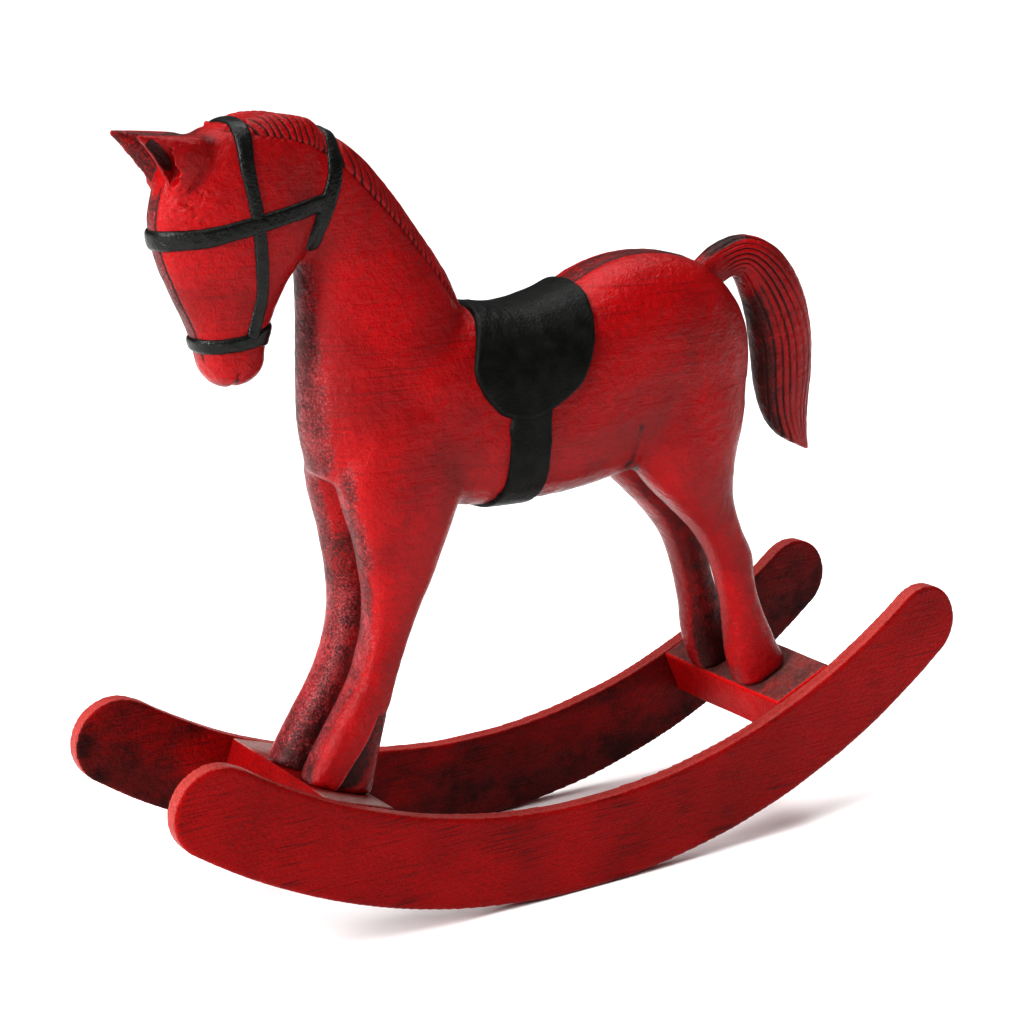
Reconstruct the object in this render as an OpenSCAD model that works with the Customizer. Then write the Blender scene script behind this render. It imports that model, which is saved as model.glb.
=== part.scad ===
// Small carved wooden rocking horse on two curved rockers.
// Millimetres. +Z is up and the floor is z = 0. The horse looks toward -X and its left side is -Y.
// The origin is on the floor under the middle of the rockers.

/* [Rockers] */
// Length over both rocker tips
rocker_length = 300; // [290:1:320]
// Width over the outer faces of the two rockers
rocker_gauge = 76; // [70:1:90]
// Thickness of one rocker board
rocker_thick = 6; // [5:0.5:9]
// Height of the rocker band at its lowest point
rocker_band = 30; // [28:0.5:32]
// Radius of the running edge
under_radius = 239; // [225:1:260]
// Radius of the rounded tips
tip_radius = 14; // [13:0.5:14.5]

/* [Slats] */
// Width of a slat along the rocker
slat_width = 24.5; // [22:0.5:28]
// Thickness of a slat
slat_thick = 16.5; // [12:0.5:18]

/* [Horse] */
// How far the horse stands turned on its slats, degrees
horse_turn = 1.6; // [0:0.2:2.4]
// Points around one carved section
section_points = 24; // [20:4:36]
// Rings between two carved sections
section_steps = 3; // [2:1:4]

/* [Tack] */
// Thickness of the saddle pad
saddle_thick = 1.4; // [1:0.1:2]
// Thickness of the girth and the bridle straps
strap_thick = 0.8; // [0.6:0.1:1.4]
// Width of the girth
girth_width = 15; // [10:0.5:18]
// Width of the bridle straps
strap_width = 4; // [3:0.25:5]

/* [Fixings] */
// Diameter of the glued wooden dowels
dowel_d = 5; // [4:0.5:6]
// Shank diameter of the screws under the hooves
screw_d = 2.6; // [2:0.1:3.2]

/* [Hidden] */
low_x = -6.2;                 // where the running edge touches the floor
top_radius = 218.2;           // radius of the rockers' top edge
half_gauge = rocker_gauge / 2;
inner_y = half_gauge - rocker_thick;
tip_reach = under_radius - tip_radius;
front_angle = asin((rocker_length / 2 + low_x - tip_radius) / tip_reach);
rear_angle = asin((rocker_length / 2 - low_x - tip_radius) / tip_reach);
dowel_grip = 4;               // how deep a dowel sits in a rocker
dowel_half = 11;              // half length of the other dowels
pivot = [84, 0.5];            // the horse is turned about its hind hooves
far = 200;                    // reach of the cutting blocks
wide = 60;                    // their half width
round_fn = 48;
arc_fn = 180;

// middle of the front edge of each slat's top face and its tilt
front_slat_at = [-96.9, 49.2];
front_slat_tilt = 19.4;
rear_slat_at = [75.5, 46];
rear_slat_tilt = -23.8;

// Carved sections, listed along each limb.
// [front x, front z, rear x, rear z, half width, centre y, squareness, narrowing toward the front]
barrel_sections = [
    [-76, 177, -76, 148, 11, 0, 2.3, 0],
    [-68, 185, -68, 138, 17, 0, 2.4, 0],
    [-54, 188, -54, 130, 20.5, 0, 2.5, 0],
    [-35, 188.6, -35, 125.6, 22.4, 0, 2.5, 0.06],
    [-16, 186.6, -16, 124.4, 23.2, 0, 2.5, 0.08],
    [3, 190.2, 3, 124.6, 23.4, 0, 2.5, 0.08],
    [20, 197.2, 20, 126.4, 23, 0, 2.5, 0.06],
    [38, 199.4, 38, 129, 22.5, 0, 2.5, 0.04],
    [54, 196.4, 54, 131, 21.5, 0, 2.5, 0.04],
    [65.6, 190, 65.6, 134, 19, 0, 2.4, 0.04],
    [72.4, 182, 72.4, 143, 15.5, 0, 2.3, 0],
    [76.4, 173, 76.4, 153, 9, 0, 2.2, 0]];
neck_sections = [
    [-84.5, 141, -30, 137, 19, 0, 2.4, 0.05],
    [-87.4, 155, -27, 152, 20, 0, 2.4, 0.05],
    [-88.2, 172, -27, 171, 19, 0, 2.3, 0.05],
    [-88.2, 188, -36.8, 193.2, 15.5, 0, 2.3, 0.05],
    [-88.6, 201, -49.6, 212.2, 12.8, 0, 2.3, 0.02],
    [-90, 212, -62.2, 228.6, 11.6, 0, 2.3, 0],
    [-95, 221, -74, 239.8, 10.8, 0, 2.3, 0],
    [-104, 228, -88, 247, 8.5, 0, 2.3, 0]];
head_sections = [
    [-107, 249.2, -84, 246.2, 8.5, 0, 2.3, 0],
    [-118.5, 247, -80, 237, 12, 0, 2.3, 0.05],
    [-129, 240, -81, 227.5, 13.4, 0, 2.3, 0.1],
    [-134.6, 228.5, -84, 216.5, 13.8, 0, 2.4, 0.14],
    [-135.6, 218.5, -89, 208.5, 13.2, 0, 2.4, 0.18],
    [-133.2, 209, -94.5, 201.5, 12, 0, 2.4, 0.18],
    [-129, 199, -98.8, 193.5, 10.6, 0, 2.4, 0.16],
    [-124.6, 189.5, -101.5, 186, 9.4, 0, 2.4, 0.12],
    [-122.2, 182, -102.2, 180.5, 9.2, 0, 2.4, 0.04],
    [-120.6, 176.6, -102.8, 177.2, 8.8, 0, 2.3, 0],
    [-117.4, 173.2, -105.4, 174.6, 6.6, 0, 2.1, 0]];
front_leg_sections = [
    [-78, 160, -28, 158, 12.4, 8.6, 2.3, 0],
    [-81.4, 140, -36, 140, 12, 9.4, 2.4, 0],
    [-76.8, 122.4, -44.4, 123.5, 10.3, 10.6, 2.5, 0],
    [-74.2, 108.5, -51.6, 107.5, 8.5, 10.8, 2.6, 0],
    [-73.6, 97, -57.2, 96.5, 7.5, 10.5, 2.7, 0],
    [-75.4, 86.5, -62, 84.5, 7, 10.2, 2.8, 0],
    [-79.6, 76, -65.8, 73, 6.9, 10, 2.8, 0],
    [-86.2, 66, -68.8, 61.5, 6.9, 10, 2.8, 0],
    [-92, 57.4, -71.4, 52, 7.2, 10, 2.8, 0],
    [-96.9, 48, -74.6, 40.2, 7.7, 10, 2.8, 0]];
rear_leg_sections = [
    [16, 160, 74, 163, 12.6, 9, 2.2, 0],
    [22, 142, 73, 145, 12.4, 10.2, 2.3, 0],
    [33, 125.5, 68, 128.5, 11.2, 11.2, 2.4, 0],
    [46, 113, 67.4, 116, 9.2, 11.5, 2.5, 0],
    [55.5, 103.5, 71, 105, 8, 11.8, 2.6, 0],
    [61.8, 94, 76, 95.4, 7.3, 12, 2.6, 0],
    [65.8, 83.5, 77.8, 85, 6.8, 12, 2.6, 0],
    [68.4, 73, 81.6, 75, 6.7, 11.9, 2.6, 0],
    [69.6, 63, 86.2, 66, 6.8, 11.8, 2.6, 0],
    [72, 53.8, 90.6, 58.4, 7.1, 11.7, 2.7, 0],
    [76.2, 45.2, 93.8, 53, 7.5, 11.6, 2.7, 0]];
tail_sections = [
    [60, 192, 67, 181, 4, 0, 2, 0],
    [69, 198, 74.4, 186, 5, 0, 2.1, 0],
    [82, 200.6, 78.8, 186.4, 6, 0, 2.2, 0],
    [95.4, 195.4, 82.6, 179.4, 6.8, 0, 2.2, 0],
    [105.8, 183.4, 85.8, 170, 7.4, 0, 2.2, 0],
    [111, 169, 87.8, 159.4, 7.5, 0, 2.2, 0],
    [112.4, 154, 89.4, 148.2, 6.9, 0, 2.2, 0],
    [111.8, 141, 92.8, 138, 5.6, 0, 2.2, 0],
    [112.2, 131, 99.6, 129.6, 3.8, 0, 2.1, 0],
    [113.8, 122.8, 111, 123.8, 1.2, 0, 2, 0]];
ear_sections = [
    [-119, 245, -130.5, 228, 4.2, 6.6, 2, 0],
    [-125.5, 245.8, -133.5, 233.4, 4.6, 7.6, 2, 0],
    [-132.5, 246.4, -137, 239, 3.2, 8.3, 2, 0],
    [-138.6, 246.8, -140.2, 243.4, 1.6, 8.6, 2, 0],
    [-142.6, 247, -142.9, 246.2, 0.4, 8.8, 2, 0]];
ear_hollow_sections = [
    [-127.6, 240.4, -133.2, 231.6, 2.4, 8.2, 2, 0],
    [-132.4, 243.4, -137.4, 236.6, 2, 9.8, 2, 0],
    [-139.6, 246, -141, 243.4, 0.7, 9.8, 2, 0]];

// saddle outline seen from the side: a round flap under a straight seat
flap_c = [-17.8, 177];
flap_r = 21.8;
seat_front = -33;
seat_back = 8.2;
seat_z = 190;
girth_x = -21;

// middle lines of the straps in the side view: [point, tilt from level]
cheek_line = [[-109, 224], 86];
brow_line = [[-110.6, 220.4], 9];
nose_line = [[-114, 186.5], 4];
throat_line = [[-83.6, 228], 74.5];
crossing = 0.8;               // the browband passes this much higher over the cheek strap

// joint lines in the side view: [point, tilt from level]
neck_joint = [[-80, 194.4], 0];
neck_back = -25;
leg_joint_z = 119.5;
front_dowel_at = [-61, 10.8];
rear_dowel_at = [58.5, 11.4];

mane_half = 4.6;              // half width of the carved mane
mane_rise = 1.1;              // its height over the neck

// ---------------------------------------------------------------- helpers

function between(p, q, r, s, t) = 0.5 * ((2 * q) + (r - p) * t + (2 * p - 5 * q + 4 * r - s) * t * t
    + (3 * q - p - 3 * r + s) * t * t * t);

function smooth(s, k, n = 0) = concat(
    [for (i = [0 : len(s) - 2]) for (j = [0 : k - 1])
        between(s[max(i - 1, 0)], s[i], s[i + 1], s[min(i + 2, len(s) - 1)], j / k)],
    [s[len(s) - 1]]);

// the same section moved outward by g
function grown(s, g) =
    let (d = [s[0] - s[2], s[1] - s[3]], u = d / norm(d))
    [s[0] + u[0] * g, s[1] + u[1] * g, s[2] - u[0] * g, s[3] - u[1] * g, s[4] + g, s[5], s[6], s[7]];

// the same section turned to the other side of the horse
function mirrored(s, side) = [s[0], s[1], s[2], s[3], s[4], s[5] * side, s[6], s[7]];

function power(v, e) = sign(v) * pow(abs(v), 2 / e);

function ring(s, n) = [for (i = [0 : n - 1])
    let (u = power(cos(360 * i / n), s[6]), v = power(sin(360 * i / n), s[6]))
    [(s[0] + s[2]) / 2 + (s[0] - s[2]) / 2 * u,
     s[5] + s[4] * v * (1 - s[7] * u),
     (s[1] + s[3]) / 2 + (s[1] - s[3]) / 2 * u]];

function middle(s) = [(s[0] + s[2]) / 2, (s[1] + s[3]) / 2];

// rounds off an end: the section shrinks while it moves on by h
function dome(s, dir, h, a) =
    let (m = middle(s) + dir * h * sin(a), d = [s[0] - s[2], s[1] - s[3]] / 2 * cos(a))
    [m[0] + d[0], m[1] + d[1], m[0] - d[0], m[1] - d[1], s[4] * cos(a), s[5], s[6], s[7]];

function unit(v) = v / norm(v);

function domed(s, h0, h1) =
    let (n = len(s), d0 = unit(middle(s[0]) - middle(s[1])), d1 = unit(middle(s[n - 1]) - middle(s[n - 2])))
    concat(
        h0 > 0 ? [for (a = [75, 50, 25]) dome(s[0], d0, h0, a)] : [],
        s,
        h1 > 0 ? [for (a = [25, 50, 75]) dome(s[n - 1], d1, h1, a)] : []);

// rows always run the same way round, so that every face looks outward
function forward(rows) =
    let (d = middle(rows[1]) - middle(rows[0]), up = [rows[0][0] - rows[0][2], rows[0][1] - rows[0][3]])
    d[0] * up[1] - d[1] * up[0] > 0 ? rows : [for (i = [len(rows) - 1 : -1 : 0]) rows[i]];

module loft(sections, h0 = 0, h1 = 0, grow = 0, side = 1, steps = section_steps, n = section_points) {
    rows = forward(domed(smooth([for (s = sections) mirrored(grown(s, grow), side)], steps), h0, h1));
    m = len(rows);
    points = [for (r = rows) for (p = ring(r, n)) p];
    sides = [for (i = [0 : m - 2]) for (j = [0 : n - 1])
        let (a = i * n + j, b = i * n + (j + 1) % n) each [[a, b, a + n], [b, b + n, a + n]]];
    first = [for (j = [n - 1 : -1 : 0]) j];
    last = [for (j = [0 : n - 1]) (m - 1) * n + j];
    polyhedron(points = points, faces = concat(sides, [first], [last]), convexity = 6);
}

// a big block above or below a line in the side view; the line goes through p, tilted by a
module side_of(p, a, up = true, reach = far, half = wide) {
    translate([p[0], 0, p[1]])
        rotate([0, -a, 0])
            translate([-reach, -half, up ? 0 : -reach])
                cube([2 * reach, 2 * half, reach]);
}

// a carved piece, kept as one closed skin
module as_mesh() {
    resize([0, 0, 0])
        children();
}

module on_rockers() {
    translate([pivot[0], pivot[1], 0])
        rotate([0, 0, horse_turn])
            translate([-pivot[0], 0, 0])
                children();
}

module bar(p, q, d, fn = round_fn) {
    v = q - p;
    len = norm(v);
    translate(p)
        rotate([0, acos(v[2] / len), atan2(v[1], v[0])])
            cylinder(d = d, h = len, $fn = fn);
}

// ---------------------------------------------------------------- rockers and slats

module disc(x, z, r, fn = arc_fn) {
    translate([x, inner_y + rocker_thick, z])
        rotate([90, 0, 0])
            cylinder(r = r, h = rocker_thick, $fn = fn);
}

module wedge() {
    reach = under_radius * 1.6;
    translate([low_x, half_gauge + 1, under_radius])
        rotate([90, 0, 0])
            linear_extrude(rocker_thick + 2)
                polygon([
                    [0, 0],
                    [-reach * sin(front_angle), -reach * cos(front_angle)],
                    [reach * sin(rear_angle), -reach * cos(rear_angle)]]);
}

module rocker_blank() {
    intersection() {
        difference() {
            disc(low_x, under_radius, under_radius);
            translate([low_x, half_gauge + 1, rocker_band + top_radius])
                rotate([90, 0, 0])
                    cylinder(r = top_radius, h = rocker_thick + 2, $fn = arc_fn);
        }
        wedge();
    }
    disc(low_x - tip_reach * sin(front_angle), under_radius - tip_reach * cos(front_angle), tip_radius, 72);
    disc(low_x + tip_reach * sin(rear_angle), under_radius - tip_reach * cos(rear_angle), tip_radius, 72);
}

module in_slat(at, tilt) {
    translate([at[0], 0, at[1]])
        rotate([0, tilt, 0])
            children();
}

module in_front_slat() {
    in_slat(front_slat_at, front_slat_tilt)
        children();
}

module in_rear_slat() {
    in_slat(rear_slat_at, rear_slat_tilt)
        children();
}

// two blind dowels at each end of a slat
module slat_pins() {
    for (side = [-1, 1], along = [0.27, 0.73])
        translate([slat_width * along, side * (inner_y + dowel_grip), -slat_thick / 2])
            rotate([side * 90, 0, 0])
                cylinder(d = dowel_d, h = 2 * dowel_grip, $fn = round_fn);
}

module slat_screw(x, y, grip) {
    translate([x, y, -slat_thick])
        cylinder(d = screw_d, h = slat_thick + grip, $fn = round_fn);
    translate([x, y, -slat_thick])
        cylinder(d1 = 2.1 * screw_d, d2 = screw_d, h = 0.6 * screw_d, $fn = round_fn);
}

function turned_y(x, y) = pivot[1] + (x - pivot[0]) * sin(horse_turn) + y * cos(horse_turn);

module front_screws() {
    for (side = [-1, 1])
        in_front_slat()
            slat_screw(12, turned_y(-85.4, side * 10), 13);
}

module rear_screws() {
    for (side = [-1, 1])
        in_rear_slat()
            slat_screw(9.6, turned_y(84.8, side * 11.6), 13);
}

module right_rocker() {
    color("firebrick")
        difference() {
            rocker_blank();
            in_front_slat()
                slat_pins();
            in_rear_slat()
                slat_pins();
        }
}

module left_rocker() {
    color("firebrick")
        difference() {
            translate([0, rocker_thick - 2 * half_gauge, 0])
                rocker_blank();
            in_front_slat()
                slat_pins();
            in_rear_slat()
                slat_pins();
        }
}

module slat_board() {
    translate([0, -inner_y, -slat_thick])
        cube([slat_width, 2 * inner_y, slat_thick]);
}

module front_slat() {
    color("firebrick")
        difference() {
            in_front_slat()
                slat_board();
            in_front_slat()
                slat_pins();
            front_screws();
        }
}

module rear_slat() {
    color("firebrick")
        difference() {
            in_rear_slat()
                slat_board();
            in_rear_slat()
                slat_pins();
            rear_screws();
        }
}

module slat_dowels() {
    color("burlywood") {
        in_front_slat()
            slat_pins();
        in_rear_slat()
            slat_pins();
    }
}

module hoof_screws() {
    color("silver") {
        front_screws();
        rear_screws();
    }
}

// ---------------------------------------------------------------- the carved horse

module barrel_mass(grow = 0) {
    loft(barrel_sections, 4, 3, grow);
}

module neck_mass(grow = 0) {
    loft(neck_sections, 3, 3, grow);
}

module head_mass(grow = 0) {
    loft(head_sections, 2, 1.2, grow);
}

module tail_mass() {
    loft(tail_sections, 2, 0.6);
}

module leg_mass(front, side, grow = 0) {
    loft(front ? front_leg_sections : rear_leg_sections, 4, 0, grow, side);
}

module torso_mass(grow = 0) {
    barrel_mass(grow);
    neck_mass(grow);
    for (front = [true, false], side = [-1, 1])
        leg_mass(front, side, grow);
}

module head_and_neck(grow = 0) {
    head_mass(grow);
    neck_mass(grow);
}

// a raised ridge along the crest, from the poll to the withers
module mane() {
    intersection() {
        difference() {
            head_and_neck(mane_rise);
            side_of([-108, 240], 62);
            side_of([-62, 205], -49, false);
        }
        translate([-far, -mane_half, 150])
            cube([far, 2 * mane_half, far]);
    }
}

module ears() {
    for (side = [-1, 1])
        difference() {
            loft(ear_sections, 0, 0, 0, side, 3, 16);
            loft(ear_hollow_sections, 1, 0, 0, side, 3, 12);
        }
}

module above_neck_joint() {
    intersection() {
        side_of(neck_joint[0], neck_joint[1]);
        translate([neck_back - far, -wide, neck_joint[0][1] - far / 2])
            cube([far, 2 * wide, far]);
    }
}

module leg_pins() {
    for (side = [-1, 1], at = [front_dowel_at, rear_dowel_at])
        translate([at[0], side * at[1], leg_joint_z - dowel_half])
            cylinder(d = dowel_d, h = 2 * dowel_half, $fn = round_fn);
}

module neck_pins() {
    for (x = [-74, -54])
        bar([x, 0, 183], [x - 2, 0, 207], dowel_d);
}

module head_pin() {
    bar([-97, 0, 233.5], [-75, 0, 227.3], dowel_d);
}

module tail_pin() {
    bar([52, 0, 184], [78, 0, 194], dowel_d);
}

module body() {
    color("firebrick")
        as_mesh()
            on_rockers()
                difference() {
                    union() {
                        torso_mass();
                        mane();
                    }
                    side_of([0, leg_joint_z], 0, false);
                    above_neck_joint();
                    tail_mass();
                    leg_pins();
                    neck_pins();
                    tail_pin();
                }
}

module neck() {
    color("firebrick")
        as_mesh()
            on_rockers()
                difference() {
                    intersection() {
                        union() {
                            neck_mass();
                            mane();
                        }
                        above_neck_joint();
                    }
                    side_of(throat_line[0], throat_line[1]);
                    neck_pins();
                    head_pin();
                }
}

module head() {
    color("firebrick")
        as_mesh()
            on_rockers()
                difference() {
                    union() {
                        head_and_neck();
                        mane();
                        ears();
                    }
                    side_of(throat_line[0], throat_line[1], false);
                    head_pin();
                }
}

module leg(front, side) {
    color("firebrick")
        as_mesh()
            difference() {
                on_rockers()
                    difference() {
                        leg_mass(front, side);
                        side_of([0, leg_joint_z], 0);
                        leg_pins();
                    }
                if (front)
                    in_front_slat()
                        under_hooves();
                else
                    in_rear_slat()
                        under_hooves();
                if (front)
                    front_screws();
                else
                    rear_screws();
            }
}

module under_hooves() {
    translate([-20, -40, -20])
        cube([70, 80, 20]);
}

module tail() {
    color("firebrick")
        as_mesh()
            on_rockers()
                difference() {
                    tail_mass();
                    tail_pin();
                }
}

module leg_dowels() {
    color("burlywood")
        on_rockers()
            leg_pins();
}

module neck_dowels() {
    color("burlywood")
        on_rockers()
            neck_pins();
}

module head_dowel() {
    color("burlywood")
        on_rockers()
            head_pin();
}

module tail_dowel() {
    color("burlywood")
        on_rockers()
            tail_pin();
}

// ---------------------------------------------------------------- saddle and bridle

module side_prism(half = wide) {
    translate([0, half, 0])
        rotate([90, 0, 0])
            linear_extrude(2 * half)
                children();
}

module saddle_outline() {
    translate(flap_c)
        circle(r = flap_r, $fn = 72);
    polygon([
        [flap_c[0] - flap_r, flap_c[1]],
        [seat_front, seat_z],
        [seat_front, seat_z + 20],
        [seat_back, seat_z + 20],
        [seat_back, seat_z],
        [flap_c[0] + flap_r, flap_c[1]]]);
}

module saddle() {
    color("black")
        as_mesh()
            on_rockers()
                difference() {
                    intersection() {
                        union() {
                            barrel_mass(saddle_thick);
                            neck_mass(saddle_thick);
                        }
                        side_prism()
                            saddle_outline();
                    }
                    torso_mass();
                    above_neck_joint();
                }
}

module girth() {
    color("black")
        as_mesh()
            on_rockers()
                difference() {
                    intersection() {
                        torso_mass(strap_thick);
                        translate([girth_x - girth_width / 2, -wide, flap_c[1] - 67])
                            cube([girth_width, 2 * wide, 52]);
                    }
                    torso_mass();
                    side_prism()
                        saddle_outline();
                }
}

// a flat band around the head, seen edge-on in the side view
module band(line, width = strap_width) {
    translate([line[0][0], 0, line[0][1]])
        rotate([0, -line[1], 0])
            translate([-60, -40, -width / 2])
                cube([120, 80, width]);
}

module cheek_strap() {
    color("black")
        as_mesh()
            on_rockers()
                difference() {
                    intersection() {
                        head_and_neck(strap_thick);
                        band(cheek_line);
                    }
                    head_and_neck();
                    mane();
                    side_of([nose_line[0][0], nose_line[0][1] + strap_width / 2], nose_line[1], false);
                }
}

module browband() {
    color("black")
        as_mesh()
            on_rockers()
                difference() {
                    union() {
                        intersection() {
                            head_and_neck(strap_thick);
                            band(brow_line, strap_width * 1.1);
                        }
                        intersection() {
                            head_and_neck(strap_thick + crossing);
                            band(brow_line, strap_width * 1.1);
                            band(cheek_line, strap_width * 1.5);
                        }
                    }
                    head_and_neck();
                    intersection() {
                        head_and_neck(strap_thick);
                        band(cheek_line);
                    }
                    side_of([throat_line[0][0] - strap_width / 2, throat_line[0][1]], throat_line[1], false);
                }
}

module noseband() {
    color("black")
        as_mesh()
            on_rockers()
                difference() {
                    intersection() {
                        head_mass(strap_thick);
                        band(nose_line);
                    }
                    head_mass();
                }
}

module throat_latch() {
    color("black")
        as_mesh()
            on_rockers()
                difference() {
                    intersection() {
                        head_and_neck(strap_thick);
                        band(throat_line);
                    }
                    head_and_neck();
                    mane();
                }
}

// ---------------------------------------------------------------- nodes

left_rocker();
right_rocker();
front_slat();
rear_slat();
slat_dowels();
hoof_screws();
body();
neck();
head();
leg(true, -1);  // front_left_leg
leg(true, 1);  // front_right_leg
leg(false, -1);  // rear_left_leg
leg(false, 1);  // rear_right_leg
tail();
leg_dowels();
neck_dowels();
head_dowel();
tail_dowel();
saddle();
girth();
cheek_strap();
browband();
noseband();
throat_latch();
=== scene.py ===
import math

import bmesh
import bpy
import numpy as np
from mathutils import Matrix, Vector
from mathutils.bvhtree import BVHTree


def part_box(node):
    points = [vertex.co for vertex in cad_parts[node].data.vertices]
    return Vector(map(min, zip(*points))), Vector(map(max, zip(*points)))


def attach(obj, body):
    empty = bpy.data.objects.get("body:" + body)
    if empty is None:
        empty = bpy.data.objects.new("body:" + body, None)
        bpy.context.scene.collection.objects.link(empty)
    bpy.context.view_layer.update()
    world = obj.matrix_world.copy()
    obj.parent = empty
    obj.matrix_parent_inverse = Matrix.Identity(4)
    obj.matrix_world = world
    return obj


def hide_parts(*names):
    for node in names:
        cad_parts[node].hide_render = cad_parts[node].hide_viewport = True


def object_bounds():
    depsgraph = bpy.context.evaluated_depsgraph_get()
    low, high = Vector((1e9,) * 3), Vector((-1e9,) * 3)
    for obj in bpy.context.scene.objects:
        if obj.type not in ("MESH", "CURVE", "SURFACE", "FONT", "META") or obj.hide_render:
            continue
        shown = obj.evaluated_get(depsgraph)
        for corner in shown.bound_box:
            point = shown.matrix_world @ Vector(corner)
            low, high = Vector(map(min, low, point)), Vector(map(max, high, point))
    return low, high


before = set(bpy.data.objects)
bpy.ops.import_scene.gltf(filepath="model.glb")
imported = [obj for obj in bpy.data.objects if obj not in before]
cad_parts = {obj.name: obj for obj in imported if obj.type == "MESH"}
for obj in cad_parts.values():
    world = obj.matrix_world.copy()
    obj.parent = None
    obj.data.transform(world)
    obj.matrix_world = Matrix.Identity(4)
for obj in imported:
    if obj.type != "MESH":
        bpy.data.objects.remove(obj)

cad_low, cad_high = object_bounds()

# Lengths below are in millimetres; meshes are made in metres.
MM = 0.001
BODY = "root"

# the horse stands a little turned on its slats, about an upright axis
TURN = math.radians(1.6)
PIVOT = np.array([84.0, 0.5])

# joint planes of the carved blocks, in the horse's own frame: (x, z), tilt in degrees
NECK_JOINT_Z = 194.4
LEG_JOINT_Z = 119.5
THROAT_AT, THROAT_TILT = (-83.6, 228.0), 74.5
# the whole neck block is ahead of NECK_BACK_X; LEGS_SPLIT_X is between front and hind legs
NECK_BACK_X = -25.0
LEGS_SPLIT_X = -5.0

# half width of the CAD's mane ridge, and how far the carved mane stands out below the ridge
MANE_HALF = 4.6
MANE_RISE = 1.1
# how far down from the crest the mane's cuts begin; lower on the far side, where the first
# millimetres would show as bumps on the crest's outline
CUTS_FROM_NEAR, CUTS_FROM_FAR = 2.0, 4.6
CHEEK_HALF, THROAT_HALF = 2.6, 2.45

# the blocks of the horse, with the dowels that fill their holes
HORSE_NODES = ["body", "neck", "head", "front_left_leg", "front_right_leg", "rear_left_leg",
               "rear_right_leg", "leg_dowels", "neck_dowels", "head_dowel"]


# ------------------------------------------------------------------ numbers

def to_horse(p):
    c, s = math.cos(TURN), math.sin(TURN)
    x, y = p[:, 0] - PIVOT[0], p[:, 1] - PIVOT[1]
    return np.stack([PIVOT[0] + c * x + s * y, -s * x + c * y, p[:, 2]], 1)


def turn_in(v):
    c, s = math.cos(TURN), math.sin(TURN)
    return np.stack([c * v[:, 0] + s * v[:, 1], -s * v[:, 0] + c * v[:, 1], v[:, 2]], 1)


def step(a, b, x):
    t = np.clip((x - a) / (b - a), 0, 1)
    return t * t * (3 - 2 * t)


def hump(x, middle, half):
    """1 at middle, falling to 0 at half away on both sides"""
    return 1 - step(0, half, np.abs(x - middle))


def curve(points, per=12):
    """a smooth line through the points"""
    p = np.array(points, float)
    q = np.vstack([2 * p[0] - p[1], p, 2 * p[-1] - p[-2]])
    out = []
    for i in range(len(p) - 1):
        a, b, c, d = q[i:i + 4]
        for t in np.arange(per) / per:
            out.append(0.5 * (2 * b + (c - a) * t + (2 * a - 5 * b + 4 * c - d) * t * t
                              + (3 * b - a - 3 * c + d) * t ** 3))
    return np.array(out + [p[-1]])


def along(line, x, z):
    """distance to a line in the side view, the length along it and the side it lies on"""
    best = np.full(len(x), 1e9)
    arc = np.zeros(len(x))
    side = np.zeros(len(x))
    start = 0.0
    for a, b in zip(line[:-1], line[1:]):
        d = b - a
        size = math.hypot(*d)
        t = np.clip(((x - a[0]) * d[0] + (z - a[1]) * d[1]) / size ** 2, 0, 1)
        ex, ez = x - a[0] - t * d[0], z - a[1] - t * d[1]
        r = np.hypot(ex, ez)
        near = r < best
        best[near] = r[near]
        arc[near] = start + t[near] * size
        side[near] = np.sign(d[0] * ez - d[1] * ex)[near]
        start += size
    return best, arc, side


def inside(loop, x, z):
    """True where (x, z) is inside a closed outline"""
    hit = np.zeros(len(x), bool)
    for a, b in zip(loop, np.roll(loop, -1, axis=0)):
        cross = (a[1] > z) != (b[1] > z)
        rise = b[1] - a[1] if abs(b[1] - a[1]) > 1e-9 else 1e-9
        hit ^= cross & (x < (b[0] - a[0]) * (z - a[1]) / rise + a[0])
    return hit


def wobble(x, y, z, size, seed=0):
    """smooth irregular waves about size mm long, between -1 and 1"""
    r = np.random.default_rng(seed)
    total = np.zeros(len(x))
    for _ in range(7):
        d = r.normal(size=3)
        d = d / np.linalg.norm(d) * 2 * math.pi / (size * r.uniform(0.7, 1.5))
        total += np.sin(d[0] * x + d[1] * y + d[2] * z + r.uniform(0, 6.3))
    return total / 7 * 1.6


# ------------------------------------------------------------------ meshes

def positions(mesh):
    co = np.empty(len(mesh.vertices) * 3, np.float32)
    mesh.vertices.foreach_get("co", co)
    return co.reshape(-1, 3).astype(float) / MM


def set_positions(mesh, co):
    mesh.vertices.foreach_set("co", (co * MM).astype(np.float32).ravel())
    mesh.update()


def normals(mesh):
    n = np.empty(len(mesh.vertices) * 3, np.float32)
    mesh.vertex_normals.foreach_get("vector", n)
    return n.reshape(-1, 3).astype(float)


def links(mesh):
    e = np.empty(len(mesh.edges) * 2, np.int32)
    mesh.edges.foreach_get("vertices", e)
    e = e.reshape(-1, 2)
    count = np.bincount(e.ravel(), minlength=len(mesh.vertices)).astype(float)
    return e[:, 0], e[:, 1], np.maximum(count, 1)


def average(v, link):
    a, b, count = link
    v = v.reshape(len(count), -1)
    out = np.empty_like(v)
    for k in range(v.shape[1]):
        out[:, k] = np.bincount(a, v[b, k], len(count)) + np.bincount(b, v[a, k], len(count))
    return out / count[:, None]


def relax(v, link, rounds, weight=0.5):
    w = np.broadcast_to(np.asarray(weight, float).reshape(-1, 1), (len(link[2]), 1))
    v = v.reshape(len(link[2]), -1).copy()
    for _ in range(rounds):
        v += w * (average(v, link) - v)
    return v


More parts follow.
